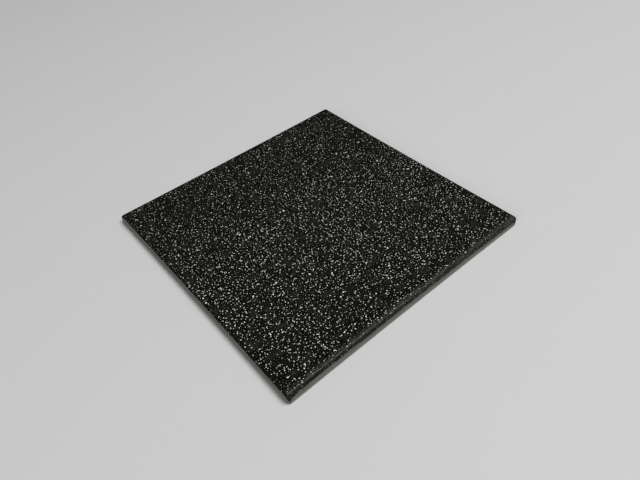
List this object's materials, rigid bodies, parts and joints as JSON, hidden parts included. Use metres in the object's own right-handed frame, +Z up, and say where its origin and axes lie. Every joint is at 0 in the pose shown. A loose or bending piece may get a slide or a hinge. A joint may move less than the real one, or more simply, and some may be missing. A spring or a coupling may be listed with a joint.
{
  "type": "ceramic floor tile",
  "caption": "Square glazed ceramic floor tile with a rounded arris and a keyed bed; laid in adhesive beside others to pave a floor.",
  "frame": {"origin": "centre of the bed face, on the surface that the tile lies on", "axes": "+Z up out of the glazed face, +X and +Y along the tile's edges; the glaze has run down the -Y and +Y sides"},
  "size_m": [0.2, 0.2, 0.007],
  "materials": {
    "glazed_tile": "matt near-black glaze sprinkled with pale grey flecks, run part-way down two sides over a bare grey body"
  },
  "bodies": {
    "root": {"floor_tile": "glazed_tile"}
  },
  "joints": []
}
